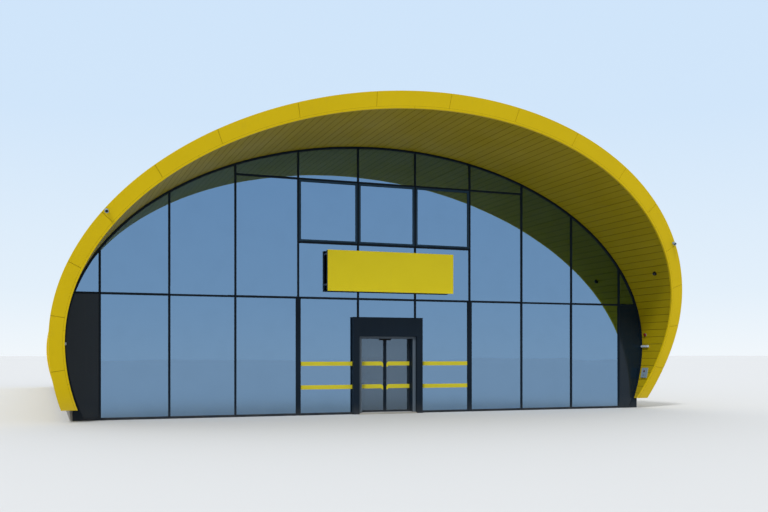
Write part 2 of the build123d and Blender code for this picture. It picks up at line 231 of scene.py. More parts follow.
def block(name, low, high):
    # A cuboid between two corners, to be shaped further
    low, high = Vector(low), Vector(high)
    bpy.ops.mesh.primitive_cube_add(size=1, location=(low + high) / 2)
    piece = bpy.context.object
    piece.name = name
    piece.scale = high - low
    applyPlace(piece)
    return piece

# The nodes

def bodyOf(nodeName):
    return nodes[nodeName]["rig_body"]

def pieceNameOf(nodeName):
    first, *rest = nodeName.split("_")
    return first + "".join(word.capitalize() for word in rest)

def middleOf(nodeName, side=0):
    # Middle of a node, or of its half on one side of the hall
    corners = [vert.co for vert in nodes[nodeName].data.vertices if vert.co.x * side >= 0]
    low = Vector([min(co[axis] for co in corners) for axis in range(3)])
    high = Vector([max(co[axis] for co in corners) for axis in range(3)])
    return (low + high) / 2

def mergedCopy(nodeName, pieceName=None):
    piece = nodes[nodeName].copy()
    piece.data = nodes[nodeName].data.copy()
    piece.name = pieceName or pieceNameOf(nodeName)
    piece.parent = None
    for key in list(piece.keys()):
        del piece[key]
    bpy.context.collection.objects.link(piece)
    piece.hide_viewport = False
    piece.hide_render = False
    edit(piece)
    bpy.ops.mesh.remove_doubles(threshold=making["mergeGap"])
    bpy.ops.mesh.dissolve_limited(angle_limit=math.radians(making["flatWithin"]))
    leave()
    return piece

# Oval and raking plane

def riseOf(lift):
    return oval["rise"] if lift >= 0 else oval["drop"]

def ovalNormal(angle):
    side, lift = math.cos(angle), math.sin(angle)
    return Vector((side / oval["halfSpan"], 0, lift / riseOf(lift))).normalized()

def ovalPoint(angle, outset=0.0, y=0.0):
    side, lift = math.cos(angle), math.sin(angle)
    onCurve = Vector((oval["halfSpan"] * side, y, oval["spring"] + riseOf(lift) * lift))
    return onCurve + ovalNormal(angle) * outset

def sideAngle(height):
    lift = height - oval["spring"]
    return math.asin(lift / riseOf(lift))

def angleOf(place):
    # Angle on the oval of a point near it
    lift = place.z - oval["spring"]
    return math.atan2(lift / riseOf(lift), place.x / oval["halfSpan"])

def ovalFrame(angle, outset=0.0, y=0.0):
    # Local X round the oval, Y into the building, Z towards the inside
    inward = -ovalNormal(angle)
    place = Matrix((inDepth.cross(inward), inDepth, inward)).transposed().to_4x4()
    place.translation = ovalPoint(angle, outset, y)
    return place

def rakePoint(behind):
    return Vector((0, -rake["ground"], 0)) - rakeNormal * behind

def cutBehindRake(obj, behind):
    # Takes away what stands in front of a plane so far behind the raking edge
    cutAcross(obj, rakePoint(behind), rakeNormal, "outer")

def cutBeforeRake(obj, behind):
    cutAcross(obj, rakePoint(behind), rakeNormal, "inner")

def cutAtFoot(obj, height):
    cutAcross(obj, (0, 0, height), up, "inner")

def ovalBand(name, outset, thickness, front, back, steps):
    # A shell along the vault between two depths: a circle, drawn out to the oval, then thickened
    bpy.ops.mesh.primitive_circle_add(vertices=steps, radius=1, rotation=(math.pi / 2, 0, 0))
    band = bpy.context.object
    band.name = name
    applyPlace(band)
    resizeSome(band, (oval["halfSpan"], 1, 1))
    resizeSome(band, (1, 1, oval["rise"]), wanted=lambda vert: vert.co.z > making["hair"])
    resizeSome(band, (1, 1, oval["drop"]), wanted=lambda vert: vert.co.z < -making["hair"])
    edit(band, "VERT", lambda vert: vert.co.z < -oval["spring"] - oval["rim"])
    bpy.ops.mesh.delete(type="VERT")
    bpy.ops.mesh.select_all(action="SELECT")
    bpy.ops.transform.translate(value=(0, front, oval["spring"]))
    bpy.ops.mesh.extrude_region_move(TRANSFORM_OT_translate={"value": (0, back - front, 0)})
    bpy.ops.mesh.select_all(action="SELECT")
    bpy.ops.mesh.normals_make_consistent(inside=False)
    leave()
    crest = max(band.data.polygons, key=lambda face: face.center.z)
    if crest.normal.z < 0:
        edit(band)
        bpy.ops.mesh.flip_normals()
        leave()
    edit(band)
    bpy.ops.transform.shrink_fatten(value=outset)
    leave()
    applyModifier(band, "SOLIDIFY", thickness=thickness, offset=1)
    return band

# Shader groups. A cloud of noise is its scale, detail and roughness, and where it starts and is full.
ageing = {
    "dustColour": (0.30, 0.28, 0.24, 1),
    "dustFall": 1.6,
    "ledge": (0.35, 0.95),
    "patches": (2.3, 6.0, 0.62, 0.32, 0.72),
    "leastPatch": 0.35,
    "dustyRough": 0.4,
    "runColour": (0.13, 0.11, 0.07, 1),
    "runStretch": (9.0, 9.0, 0.35),
    "runs": (1.0, 4.0, 0.6, 0.52, 0.78),
    "breaks": (0.8, 2.0, 0.5, 0.4, 0.62),
    "drift": (4.0, 0.5, 0.3, 0.7),
    "flecks": (60.0, 5.0, 0.7, 0.35, 0.75),
    "wornRough": 0.08,
    "grainDetail": 2.0,
    "waveDetail": 1.0,
}

def feed(tree, socket, value):
    if isinstance(value, bpy.types.NodeSocket):
        tree.links.new(value, socket)
    elif value is not None:
        socket.default_value = value

def feedAll(tree, node, values):
    for label, value in values.items():
        feed(tree, node.inputs[label], value)
    return node.outputs

def addNode(tree, kind, **values):
    return feedAll(tree, tree.nodes.new("ShaderNode" + kind), values)

def calc(tree, operation, first, second=None, clamp=False):
    node = tree.nodes.new("ShaderNodeMath")
    node.operation = operation
    node.use_clamp = clamp
    feed(tree, node.inputs[0], first)
    feed(tree, node.inputs[1], second)
    return node.outputs[0]

def plus(tree, first, second, clamp=False):
    return calc(tree, "ADD", first, second, clamp)

def times(tree, first, second, clamp=False):
    return calc(tree, "MULTIPLY", first, second, clamp)

def mixColour(tree, share, first, second, blend="MIX"):
    # A Mix node's colours are its inputs 6 and 7 and its output 2
    node = tree.nodes.new("ShaderNodeMix")
    node.data_type = "RGBA"
    node.blend_type = blend
    for number, value in ((0, share), (6, first), (7, second)):
        feed(tree, node.inputs[number], value)
    return node.outputs[2]

def noise(tree, vector, scale, detail, roughness=0.5):
    values = {"Vector": vector, "Scale": scale, "Detail": detail, "Roughness": roughness}
    return addNode(tree, "TexNoise", **values)["Fac"]

def ramp(tree, value, low, high):
    node = tree.nodes.new("ShaderNodeMapRange")
    node.clamp = True
    return feedAll(tree, node, {"Value": value, "From Min": low, "From Max": high})["Result"]

def cloud(tree, vector, scale, detail, roughness, start, full):
    return ramp(tree, noise(tree, vector, scale, detail, roughness), start, full)

def upPart(tree, vector):
    return addNode(tree, "SeparateXYZ", Vector=vector)["Z"]

def newGroup(name, inputs, outputs):
    # Inputs and outputs are given by their kind
    tree = bpy.data.node_groups.new(name, "ShaderNodeTree")
    for direction, kinds in (("INPUT", inputs), ("OUTPUT", outputs)):
        for kind, labels in kinds.items():
            for label in labels:
                tree.interface.new_socket(name=label, in_out=direction, socket_type="NodeSocket" + kind)
    return tree, tree.nodes.new("NodeGroupInput").outputs, tree.nodes.new("NodeGroupOutput")

def makeWeather():
    # Dust that gathers low down and on ledges, and thin runs of rain down upright faces
    tree, given, out = newGroup(
        "weather",
        {"Vector": ("Vector", "Normal"), "Float": ("Dust Height", "Dust", "Ledge Dust", "Runs")},
        {"Float": ("Dust Mask", "Run Mask")},
    )
    vector = given["Vector"]
    fall = ramp(tree, upPart(tree, vector), given["Dust Height"], 0.0)
    low = times(tree, calc(tree, "POWER", fall, ageing["dustFall"]), given["Dust"])
    ledge = times(tree, ramp(tree, upPart(tree, given["Normal"]), *ageing["ledge"]), given["Ledge Dust"])
    patchy = plus(tree, cloud(tree, vector, *ageing["patches"]), ageing["leastPatch"])
    dust = times(tree, plus(tree, low, ledge), patchy, clamp=True)
    stretched = addNode(tree, "Mapping", Vector=vector, Scale=ageing["runStretch"])["Vector"]
    runs = cloud(tree, stretched, *ageing["runs"])
    broken = times(tree, runs, cloud(tree, vector, *ageing["breaks"]))
    run = times(tree, broken, given["Runs"], clamp=True)
    feedAll(tree, out, {"Dust Mask": dust, "Run Mask": run})
    return tree

def makeRelief():
    # Height in metres: fine skin of a coating, and slow waves of thin sheet
    tree, given, out = newGroup(
        "relief",
        {"Vector": ("Vector",), "Float": ("Grain Scale", "Grain Depth", "Wave Scale", "Wave Depth")},
        {"Float": ("Height",)},
    )
    vector = given["Vector"]
    grain = noise(tree, vector, given["Grain Scale"], ageing["grainDetail"])
    wave = noise(tree, vector, given["Wave Scale"], ageing["waveDetail"])
    grain = times(tree, grain, given["Grain Depth"])
    wave = times(tree, wave, given["Wave Depth"])
    feedAll(tree, out, {"Height": plus(tree, grain, wave)})
    return tree

def makeMottle():
    # Slow drift of a colour between two tones, with finer flecks over it
    tree, given, out = newGroup(
        "mottle",
        {"Vector": ("Vector",), "Color": ("Light", "Dark"), "Float": ("Scale", "Fleck")},
        {"Color": ("Color",), "Float": ("Share",)},
    )
    drift = cloud(tree, given["Vector"], given["Scale"], *ageing["drift"])
    flecks = times(tree, cloud(tree, given["Vector"], *ageing["flecks"]), given["Fleck"])
    share = plus(tree, drift, flecks, clamp=True)
    colour = mixColour(tree, share, given["Light"], given["Dark"])
    feedAll(tree, out, {"Color": colour, "Share": share})
    return tree

weather = makeWeather()
relief = makeRelief()
mottle = makeMottle()
print("shader groups made")

# Finishes. Colours are linear; grain and wave are a scale per metre and a depth in metres; dust is the
# height that it reaches, its share there, and its share on ledges.
boardSkin = {
    "rough": 0.60, "specular": 0.05, "scale": 0.5, "fleck": 0.05, "grain": (420, 0.00001),
    "wave": (2.5, 0.0), "dust": (0.9, 0.12, 0.0), "runs": 0.0,
}
coatSkin = {
    "rough": 0.38, "specular": 0.10, "scale": 0.8, "fleck": 0.15, "grain": (900, 0.00003),
    "wave": (1.5, 0.0), "dust": (0.4, 0.08, 0.06), "runs": 0.02,
}
panelSkin = {
    "rough": 0.08, "specular": 0.24, "scale": 0.6, "fleck": 0.08, "grain": (700, 0.00001),
    "wave": (1.1, 0.0005), "dust": (0.5, 0.06, 0.10), "runs": 0.03,
}
plasticSkin = {
    "rough": 0.45, "specular": 0.4, "scale": 5.0, "fleck": 0.10, "grain": (1500, 0.00003),
    "wave": (1.0, 0.0), "dust": (0.2, 0.0, 0.12), "runs": 0.04,
}
lensSkin = {
    "rough": 0.18, "specular": 0.30, "scale": 6.0, "fleck": 0.05, "grain": (1500, 0.0),
    "wave": (1.0, 0.0), "dust": (0.2, 0.0, 0.08), "runs": 0.0,
}
finishes = {
    "fasciaSheet": {
        "light": (0.73, 0.525, 0.0028), "dark": (0.67, 0.480, 0.0022), "rough": 0.36, "specular": 0.14,
        "scale": 0.35, "fleck": 0.05, "grain": (420, 0.00001), "wave": (1.1, 0.0008),
        "dust": (0.9, 0.20, 0.15), "runs": 0.06,
    },
    "roofSheet": {
        "light": (0.62, 0.445, 0.003), "dark": (0.56, 0.395, 0.002), "rough": 0.42, "specular": 0.20,
        "scale": 0.30, "fleck": 0.10, "grain": (420, 0.00001), "wave": (1.6, 0.0016),
        "dust": (1.4, 0.22, 0.06), "runs": 0.12,
    },
    "signSheet": {
        "light": (0.95, 0.78, 0.006), "dark": (0.91, 0.74, 0.005), "rough": 0.30, "specular": 0.20,
        "scale": 0.7, "fleck": 0.04, "grain": (420, 0.00001), "wave": (1.4, 0.0005),
        "dust": (0.4, 0.0, 0.20), "runs": 0.03,
    },
    "filmYellow": {
        "light": (0.52, 0.460, 0.020), "dark": (0.48, 0.420, 0.018), "rough": 0.35, "specular": 0.2,
        "scale": 2.0, "fleck": 0.05, "grain": (900, 0.00001), "wave": (2.0, 0.0),
        "dust": (0.4, 0.1, 0.0), "runs": 0.0,
    },
    "innerLining": {
        "light": (0.56, 0.56, 0.54), "dark": (0.50, 0.50, 0.48), "rough": 0.60, "specular": 0.3,
        "scale": 0.5, "fleck": 0.10, "grain": (420, 0.00002), "wave": (1.5, 0.0005),
        "dust": (0.6, 0.10, 0.05), "runs": 0.0,
    },
    "anodised": {
        "light": (0.55, 0.57, 0.60), "dark": (0.46, 0.48, 0.51), "rough": 0.42, "specular": 0.5,
        "scale": 2.0, "fleck": 0.25, "grain": (600, 0.00002), "wave": (1.5, 0.0),
        "dust": (0.4, 0.25, 0.12), "runs": 0.04, "metal": 0.55,
    },
    "castConcrete": {
        "light": (0.44, 0.43, 0.40), "dark": (0.31, 0.30, 0.28), "rough": 0.82, "specular": 0.3,
        "scale": 1.6, "fleck": 0.45, "grain": (90, 0.0012), "wave": (4.0, 0.0015),
        "dust": (0.3, 0.35, 0.10), "runs": 0.30,
    },
    "soffitBoard": {
        **boardSkin, "light": (0.385, 0.292, 0.005), "dark": (0.350, 0.265, 0.004),
        "rough": 0.42, "specular": 0.06, "wave": (2.5, 0.0004),
    },
    # Painted shade: a darker copy of the board olive, standing in for the shade in the soffit's joints
    "jointShade": {**boardSkin, "light": (0.130, 0.095, 0.004), "dark": (0.110, 0.080, 0.003)},
    # Painted shade: a darker copy of the fascia yellow, standing in for the shade in the rim's joints and
    # gaps
    "rimJointShade": {**boardSkin, "light": (0.290, 0.208, 0.003), "dark": (0.260, 0.185, 0.002)},
    "blackCoat": {**coatSkin, "light": (0.0050, 0.0120, 0.0220), "dark": (0.0037, 0.0090, 0.0165)},
    "sashCoat": {
        **coatSkin, "light": (0.0180, 0.0540, 0.1030), "dark": (0.0150, 0.0460, 0.0880),
        "rough": 0.34, "specular": 0.15,
    },
    "greyCoat": {
        **coatSkin, "light": (0.080, 0.108, 0.140), "dark": (0.066, 0.090, 0.118),
        "specular": 0.3, "dust": (0.4, 0.12, 0.08), "runs": 0.03,
    },
    "anthracitePanel": {**panelSkin, "light": (0.0040, 0.0120, 0.0220), "dark": (0.0030, 0.0095, 0.0175)},
    "rearSheet": {
        **panelSkin, "light": (0.026, 0.036, 0.048), "dark": (0.020, 0.029, 0.040),
        "rough": 0.34, "specular": 0.45, "wave": (1.1, 0.0010), "dust": (0.9, 0.25, 0.10), "runs": 0.12,
    },
    "palePlastic": {**plasticSkin, "light": (0.46, 0.53, 0.62), "dark": (0.42, 0.49, 0.58), "rough": 0.40},
    "greyPlastic": {**plasticSkin, "light": (0.200, 0.275, 0.345), "dark": (0.175, 0.245, 0.310)},
    "blackPlastic": {
        **plasticSkin, "light": (0.007, 0.007, 0.009), "dark": (0.005, 0.005, 0.006),
        "specular": 0.15, "runs": 0.0,
    },
    "redLens": {**lensSkin, "light": (0.17, 0.006, 0.005), "dark": (0.14, 0.005, 0.004)},
    "opalLens": {
        **lensSkin, "light": (0.80, 0.80, 0.74), "dark": (0.74, 0.74, 0.68),
        "rough": 0.35, "specular": 0.4, "grain": (500, 0.00005), "dust": (0.2, 0.0, 0.15),
    },
    "blackGloss": {
        **lensSkin, "light": (0.005, 0.006, 0.008), "dark": (0.003, 0.004, 0.006),
        "rough": 0.06, "specular": 0.35, "scale": 5.0, "dust": (0.2, 0.0, 0.06),
    },
    "rubber": {
        **lensSkin, "light": (0.007, 0.007, 0.008), "dark": (0.005, 0.005, 0.006),
        "rough": 0.7, "specular": 0.2, "fleck": 0.10, "grain": (1200, 0.00003), "dust": (0.3, 0.2, 0.10),
    },
}
# Coated glass mirrors its surroundings, and slow waves bend what it mirrors
glassSkin = {
    "film": (1.4, 6.0, 0.65, 0.45, 0.8), "filmTone": 0.96, "rough": 0.012, "filmRough": 0.02,
    "dustyRough": 0.5, "grain": (30, 0.0), "dust": (0.7, 0.10, 0.2), "ior": 1.52,
}
glasses = {
    "facadeGlass": {
        **glassSkin, "colour": (0.195, 0.325, 0.490), "metal": 1.0, "alpha": 0.93, "wave": (0.9, 0.0007),
    },
    "doorGlass": {
        **glassSkin, "colour": (0.14, 0.20, 0.27), "metal": 0.9, "alpha": 0.70, "wave": (1.2, 0.0004),
    },
}
boardTones = ((0.97, 0.97, 0.97, 1), (1.02, 1.02, 1.0, 1))
rearRibs = {"pitch": 0.05, "depth": 0.0012}

def startMaterial(name):
    material = bpy.data.materials.new(name)
    material.use_nodes = True
    tree = material.node_tree
    return material, tree, tree.nodes["Principled BSDF"]

def useGroup(tree, group, values):
    node = tree.nodes.new("ShaderNodeGroup")
    node.node_tree = group
    return feedAll(tree, node, values)

def useWeather(tree, vector, dust, runs=0.0):
    height, low, ledge = dust
    facing = addNode(tree, "NewGeometry")["Normal"]
    values = {"Vector": vector, "Normal": facing, "Dust Height": height, "Dust": low}
    return useGroup(tree, weather, {**values, "Ledge Dust": ledge, "Runs": runs})

def ageRoughness(tree, plain, worn, wornBy, dust, dustBy):
    # A finish is duller where it is worn, and where dust lies
    rough = plus(tree, times(tree, worn, wornBy), plain)
    return plus(tree, rough, times(tree, dust, dustBy), clamp=True)

def bump(tree, vector, grain, wave, extraHeight=None):
    values = {"Vector": vector, "Grain Scale": grain[0], "Grain Depth": grain[1]}
    height = useGroup(tree, relief, {**values, "Wave Scale": wave[0], "Wave Depth": wave[1]})["Height"]
    if extraHeight is not None:
        height = plus(tree, height, extraHeight(tree, vector))
    return addNode(tree, "Bump", Distance=1.0, Height=height)["Normal"]

def coated(name, tint=None, extraHeight=None):
    # One finish from the table, aged by the shared groups
    look = finishes[name]
    material, tree, shader = startMaterial(name)
    vector = addNode(tree, "TexCoord")["Object"]
    tones = {"Vector": vector, "Light": (*look["light"], 1), "Dark": (*look["dark"], 1)}
    colour = useGroup(tree, mottle, {**tones, "Scale": look["scale"], "Fleck": look["fleck"]})
    base = tint(tree, colour["Color"]) if tint else colour["Color"]
    age = useWeather(tree, vector, look["dust"], look["runs"])
    dust = age["Dust Mask"]
    base = mixColour(tree, age["Run Mask"], base, ageing["runColour"])
    base = mixColour(tree, dust, base, ageing["dustColour"])
    worn, wornBy, dustBy = colour["Share"], ageing["wornRough"], ageing["dustyRough"]
    feedAll(tree, shader, {
        "Base Color": base,
        "Roughness": ageRoughness(tree, look["rough"], worn, wornBy, dust, dustBy),
        "Metallic": look.get("metal", 0.0),
        "Specular IOR Level": look["specular"],
        "Normal": bump(tree, vector, look["grain"], look["wave"], extraHeight),
    })
    return material

def boardTint(tree, base):
    # Each board is a little lighter or darker than its neighbour
    node = tree.nodes.new("ShaderNodeAttribute")
    node.attribute_name = "boardTone"
    toned = mixColour(tree, node.outputs["Fac"], *boardTones)
    return mixColour(tree, 1.0, base, toned, "MULTIPLY")

def microRibs(tree, vector):
    # Shallow upright ribs rolled into the rear panels
    side = addNode(tree, "SeparateXYZ", Vector=vector)["X"]
    turns = times(tree, side, 2 * math.pi / rearRibs["pitch"])
    return times(tree, calc(tree, "SINE", turns), rearRibs["depth"])

def glazing(name):
    look = glasses[name]
    material, tree, shader = startMaterial(name)
    vector = addNode(tree, "TexCoord")["Object"]
    film = cloud(tree, vector, *look["film"])
    dust = useWeather(tree, vector, look["dust"])["Dust Mask"]
    clear = (*look["colour"], 1)
    filmed = (*(look["filmTone"] * part for part in look["colour"]), 1)
    feedAll(tree, shader, {
        "Base Color": mixColour(tree, dust, mixColour(tree, film, clear, filmed), ageing["dustColour"]),
        "Roughness": ageRoughness(tree, look["rough"], film, look["filmRough"], dust, look["dustyRough"]),
        "Metallic": look["metal"],
        "IOR": look["ior"],
        "Alpha": plus(tree, dust, look["alpha"], clamp=True),
        "Normal": bump(tree, vector, look["grain"], look["wave"]),
    })
    return material

extras = {"soffitBoard": {"tint": boardTint}, "rearSheet": {"extraHeight": microRibs}}
materials = {name: coated(name, **extras.get(name, {})) for name in finishes}
for name in glasses:
    materials[name] = glazing(name)
print("materials made:", len(materials))

# A finish, the width of a softened edge, and the nodes that have both
softened = (
    ("fasciaSheet", 0.006, ("fascia_left", "fascia_crown", "fascia_right")),
    ("fasciaSheet", 0.004, ("rear_rim",)),
    ("blackCoat", 0.003, ("arch_frame",)),
    ("blackCoat", 0.004, ("mullions", "transoms", "base_rails")),
    ("sashCoat", 0.004, ("vent_sashes",)),
    ("blackCoat", 0.006, ("portal_posts", "door_header")),
    ("anodised", 0.004, ("door_operator",)),
    ("blackPlastic", 0.003, ("door_sensor",)),
    ("blackCoat", 0.003, ("door_leaf_left", "door_leaf_right")),
    ("anodised", 0.003, ("sign_rails",)),
    ("anthracitePanel", 0.003, ("end_panel_left", "end_panel_right")),
    ("castConcrete", 0.012, ("plinths",)),
    ("castConcrete", 0.001, ("threshold_ramp",)),
    ("castConcrete", 0.004, ("floor_slab",)),
    ("rearSheet", 0.003, ("rear_wall",)),
)
roofShells = {"count": 7, "edge": 0}
doorFrame = {"edge": 0.003}

def dress(nodeName, edge, *finishNames, second=None):
    # The second finish goes on the faces that second picks
    piece = mergedCopy(nodeName)
    softEdges(piece, edge)
    paint(piece, *finishNames)
    if second is not None:
        tintFaces(piece, second)
    standFor(piece, nodeName)

def looksIntoHall(face):
    return face.normal.dot(ovalNormal(angleOf(face.center))) < -0.5

def inReveal(face):
    return face.normal.y > -0.6

for finishName, edge, nodeNames in softened:
    for nodeName in nodeNames:
        dress(nodeName, edge, finishName)
# Yellow sheet outside, and a plain pale lining towards the hall
for number in range(1, roofShells["count"] + 1):
    dress(f"roof_shell_{number}", roofShells["edge"], "roofSheet", "innerLining", second=looksIntoHall)
# Grey on the face, dark in the reveals
dress("door_jambs", doorFrame["edge"], "greyCoat", "blackCoat", second=inReveal)
print("nodes dressed")

# Soffit boards, which run in depth and follow the oval, cut off behind the raking edge
boards = {
    "pitch": 0.2459,
    "groove": 0.014,
    "thickness": 0.024,
    "tongue": 0.008,
    "edge": 0.002,
    "edgeFrom": 60,
    "firstJoint": 0.188,
    "angleStep": 0.0005,
    "lift": 0.0005,
    "back": 0.16,
    "startBehindRake": 0.061,
    "toneSeed": 11,
}

def boardAngles():
    # Middle of each board, at even steps along the oval from foot to foot
    pitch, step = boards["pitch"], boards["angleStep"]
    angle = sideAngle(oval["footHeight"])
    end = math.pi - angle
    travelled = 1.5 * pitch - boards["firstJoint"]
    middles = []
    while angle < end:
        travelled += (ovalPoint(angle + step) - ovalPoint(angle)).length
        if travelled >= pitch:
            travelled -= pitch
            middles.append(angle)
        angle += step
    return middles

def modelBoard():
    # One board with the tongue that stands in the joint beside it
    half = (boards["pitch"] - boards["groove"]) / 2
    thick, tongue = boards["thickness"], boards["tongue"]
    board = block("boardModel", (-half, oval["frontReach"], -thick), (half, boards["back"], 0))
    cutAcross(board, (0, 0, tongue - thick), up)
    extrudeFaces(
        board, (boards["groove"], 0, 0), lambda face: face.normal.x > 0.9 and face.center.z < -tongue
    )
    # The sides of the joint and the tongue in it are painted in the darker joint shade
    paint(board, "soffitBoard", "jointShade")
    tintFaces(board, lambda face: face.center.x > half or abs(face.normal.x) > 0.9)
    bevelEdges(board, boards["edge"], 1, boards["edgeFrom"])
    return board

def laySoffit():
    model = modelBoard()
    tones = random.Random(boards["toneSeed"])
    laid = []
    for angle in boardAngles():
        board = placedCopy(model, ovalFrame(angle, boards["lift"]))
        cutBehindRake(board, boards["startBehindRake"])
        if min(vert.co.z for vert in board.data.vertices) < oval["footHeight"]:
            cutAtFoot(board, oval["footHeight"])
        tone = board.data.attributes.new("boardTone", "FLOAT", "FACE")
        tone.data.foreach_set("value", [tones.random()] * len(board.data.polygons))
        laid.append(board)
    discard(model)
    soffit = joined(laid, "soffitBoards")
    hand(soffit, "building", "soffit_olive", "soffit_left", "soffit_crown", "soffit_right")
    return len(laid)

print("soffit boards laid:", laySoffit())

# Trims of the rim: a bead on the inner edge of the fascia, a fine joint line beside it painted in joint
# shade, and a strip in the same painted shade that stands behind the joints of the fascia and shows in
# their gaps
bead = {"width": 0.050, "proud": 0.004, "depth": 0.03, "buttWidth": 0.005, "buttProud": 0.0005}
# Outset from the oval, width, front and back behind the raking edge, softened edge, and finish
rimTrims = {
    "fasciaBead": (0.0, bead["width"], -bead["proud"], bead["depth"], 0.002, "fasciaSheet"),
    "fasciaJointShade": (bead["width"], 0.005, -0.001, bead["depth"], 0.0005, "rimJointShade"),
    "fasciaGapShade": (0.060, 0.335, 0.012, 0.030, 0.0005, "rimJointShade"),
}
# Rim panels from the crown to a foot, as shares of that angle
panelShares = (12.3, 12.55, 13.25, 11.6, 12.2, 11.2, 11.6, 11.6, 12.5)

def layTrim(name, outset, width, front, back, edge, finishName):
    strip = ovalBand(name, outset, width, oval["frontReach"], oval["backReach"], oval["steps"])
    cutBehindRake(strip, front)
    cutBeforeRake(strip, back)
    cutAtFoot(strip, oval["footHeight"])
    handTrim(strip, edge, finishName, "fascia_yellow")

def panelMiddles():
    reach = math.pi / 2 - sideAngle(oval["footHeight"])
    total = sum(panelShares)
    passed = 0.0
    middles = []
    for share in panelShares:
        turn = reach * (passed + share / 2) / total
        middles.extend((math.pi / 2 - turn, math.pi / 2 + turn))
        passed += share
    return middles

def cutBeadButts():
    # The bead's own butt joints, halfway along each rim panel, drawn as thin strips painted in joint shade
    half = bead["buttWidth"] / 2
    low = (-half, oval["frontReach"], -bead["width"])
    high = (half, oval["backReach"], bead["buttProud"])
    butts = []
    for angle in panelMiddles():
        butt = block("butt", low, high)
        butt.data.transform(ovalFrame(angle))
        butts.append(butt)
    lines = joined(butts, "beadButtShade")
    cutBehindRake(lines, -bead["proud"] - bead["buttProud"])
    cutBeforeRake(lines, bead["depth"])
    # Painted shade: the butt lines carry the darker yellow that stands for the shade in a joint
    paint(lines, "rimJointShade")
    hand(lines, "building", "fascia_yellow")

for trimName, measures in rimTrims.items():
    layTrim(trimName, *measures)
cutBeadButts()
print("rim trims made")

# Standing seams of the roof, from foot to foot, at even steps along the hall
seams = {
    "pitch": 0.53,
    "thickness": 0.010,
    "height": 0.028,
    "sunk": 0.001,
    "behindRake": 0.38,
    "rear": 28.44,
    "aboveFoot": 0.01,
    "steps": 130,
}

def raiseSeams():
    outset = oval["skin"] - seams["sunk"]
    model = ovalBand("seamModel", outset, seams["height"], 0, seams["thickness"], seams["steps"])
    cutAtFoot(model, oval["footHeight"] + seams["aboveFoot"])
    count = int((seams["rear"] - oval["frontReach"]) / seams["pitch"])
    rows = [
        placedCopy(model, Matrix.Translation((0, seams["rear"] - number * seams["pitch"], 0)))
        for number in range(count)
    ]
    discard(model)
    ribs = joined(rows, "roofSeams")
    cutBehindRake(ribs, seams["behindRake"])
    paint(ribs, "roofSheet")
    smoothFaces(ribs)
    hand(ribs, "building", "roof_yellow")
    return count

print("roof seams raised:", raiseSeams())

# Panes: each sits a touch out of true, as real ones do, so that reflections break at the bars
panes = {"lean": -0.11, "leanSpread": 0.05, "turnSpread": 0.05, "gasket": 0.008, "gasketProud": 0.006}
# Piece made from each node, its glass, and the sides with a gasket: -1 in front, 1 behind
glazed = {
    "glass_ground_row": ("paneRowGround", "facadeGlass", (-1,)),
    "glass_middle_row": ("paneRowMiddle", "facadeGlass", (-1,)),
    "glass_top_row": ("paneRowTop", "facadeGlass", (-1,)),
    "vent_glass": ("ventPanes", "facadeGlass", (-1,)),
    "door_glass_left": ("leafPaneLeft", "doorGlass", (-1, 1)),
    "door_glass_right": ("leafPaneRight", "doorGlass", (-1, 1)),
}

def centreOf(obj):
    return sum((vert.co for vert in obj.data.vertices), Vector()) / len(obj.data.vertices)

def hangPanes(nodeName, pieceName, glassName):
    sheets = mergedCopy(nodeName, pieceName)
    edit(sheets)
    bpy.ops.mesh.separate(type="LOOSE")
    leave()
    loose = sorted(bpy.context.selected_objects, key=lambda pane: round(centreOf(pane).x, 2))
    tilts = random.Random(len(nodeName))
    for pane in loose:
        middle = centreOf(pane)
        lean = math.radians(panes["lean"] + tilts.uniform(-1, 1) * panes["leanSpread"])
        turn = math.radians(tilts.uniform(-1, 1) * panes["turnSpread"])
        tilt = Matrix.Rotation(lean, 4, "X") @ Matrix.Rotation(turn, 4, "Z")
        pane.data.transform(Matrix.Translation(middle) @ tilt @ Matrix.Translation(-middle))
    sheet = joined(loose, pieceName)
    paint(sheet, glassName)
    standFor(sheet, nodeName)

def gasketFor(nodeName, pieceName, sides):
    # A rubber ring round each pane: its outer face is inset, and the middle is taken out
    rings = []
    for side in sides:
        ring = mergedCopy(nodeName, pieceName)
        edit(ring, "FACE", lambda face: face.normal.y * side < 0.9)
        bpy.ops.mesh.delete(type="FACE")
        bpy.ops.mesh.select_all(action="SELECT")
        bpy.ops.mesh.inset(thickness=panes["gasket"], use_individual=True)
        bpy.ops.mesh.delete(type="FACE")
        leave()
        applyModifier(ring, "SOLIDIFY", thickness=panes["gasketProud"], offset=1)
        rings.append(ring)
    ring = joined(rings, pieceName)
    paint(ring, "rubber")
    hand(ring, bodyOf(nodeName), "frame_black")

for nodeName, (pieceName, glassName, sides) in glazed.items():
    hangPanes(nodeName, pieceName, glassName)
    gasketFor(nodeName, pieceName + "Gasket", sides)
print("panes hung")

# The leaves, and which end of each is the one where they meet: 0 left, 1 right
meetingEnd = {"left": 1, "right": 0}
# Safety bands on the panes beside the entrance and on the leaves
bands = {
    "heights": ((0.778, 0.905), (1.490, 1.616)),
    "thickness": 0.0015,
    "standOff": 0.0045,
    "edgeGap": 0.010,
    "cornerRadius": 0.085,
    "innerRadius": 0.025,
    "cornerSegments": 8,
    "tailWidth": 0.045,
    "tailDrop": 0.035,
    "besideDoor": (0.975, 2.78),
}

def roundCorner(band, x, z, radius):
    # Rounds the edge that runs through the band's thickness at one corner
    def atCorner(edge):
        ends = [band.data.vertices[number].co for number in edge.vertices]
        return all(max(abs(end.x - x), abs(end.z - z)) < making["hair"] for end in ends)

    edit(band, "EDGE", atCorner)
    bpy.ops.mesh.bevel(offset=radius, segments=bands["cornerSegments"])
    leave()

